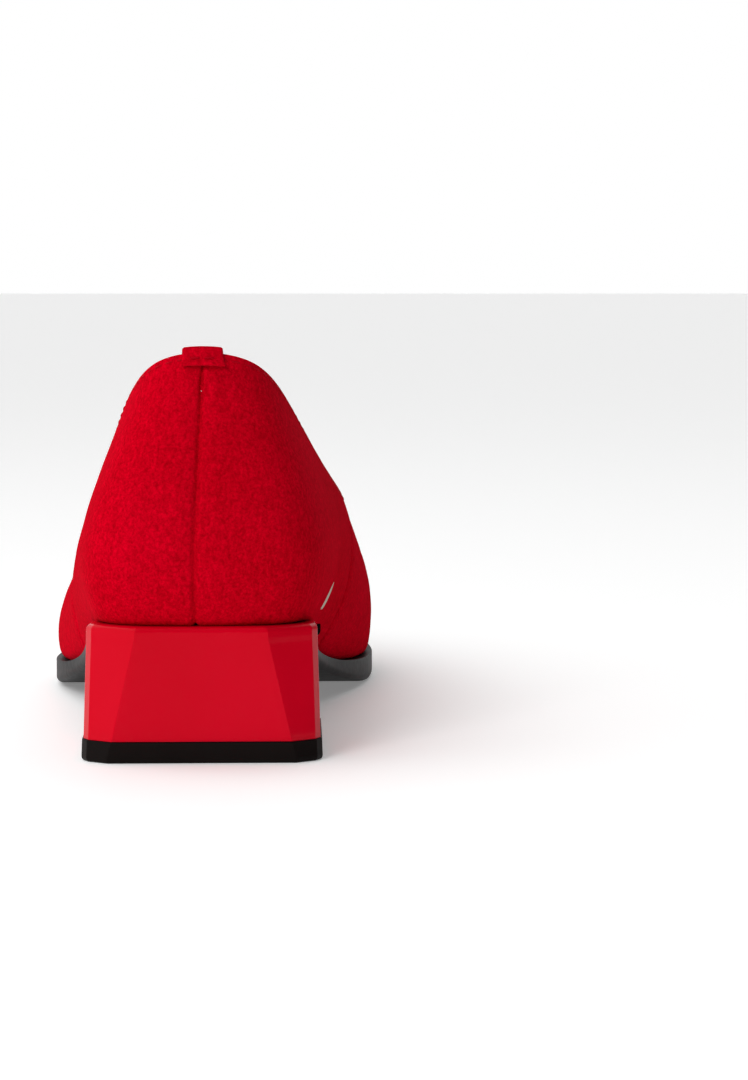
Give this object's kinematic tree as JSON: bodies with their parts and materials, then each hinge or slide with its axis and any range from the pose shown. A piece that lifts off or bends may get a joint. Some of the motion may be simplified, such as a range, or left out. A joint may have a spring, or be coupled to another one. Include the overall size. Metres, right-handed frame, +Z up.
{
  "type": "block heel court shoe",
  "caption": "Left-foot closed court shoe in red suede on a low faceted lacquered block heel, with a dark tip and thin sole.",
  "frame": {"origin": "middle of the heel tip's underside, at floor level, 27 mm ahead of the back of the heel curve", "axes": "+Z up from the floor, +Y towards the toe, +X towards the inner (medial) side of the foot"},
  "size_m": [0.0874, 0.2487, 0.0951],
  "materials": {
    "suede": "napped red suede",
    "lining": "smooth matt",
    "thread": "twisted, slight sheen",
    "tape": "woven",
    "counter_board": "fibrous",
    "toe_sheet": "matt",
    "sock_leather": "smooth matt",
    "insole_cellulose": "matt",
    "foam": "open cell",
    "cork": "granular",
    "spring_steel": "blued",
    "fastener_steel": "bright",
    "sole_rubber": "glossy black edge",
    "heel_lacquer": "high gloss red",
    "tip_rubber": "satin black"
  },
  "bodies": {
    "root": {"quarter_medial": "suede", "quarter_lateral": "suede", "vamp": "suede", "heel_tab": "suede", "quarter_lining": "lining", "vamp_lining": "lining", "back_seam_tape": "tape", "topline_tape": "tape", "heel_counter": "counter_board", "toe_puff": "toe_sheet", "topline_stitches": "thread", "insole_board": "insole_cellulose", "shank_board": "insole_cellulose", "forepart_insole": "insole_cellulose", "comfort_foam": "foam", "insock": "sock_leather", "bottom_filler": "cork", "steel_shank": "spring_steel", "shank_rivets": "fastener_steel", "tip_pins": "fastener_steel", "heel_nails": "fastener_steel", "heel_screw": "fastener_steel", "outsole": "sole_rubber", "heel_block": "heel_lacquer", "top_lift": "tip_rubber"}
  },
  "joints": []
}
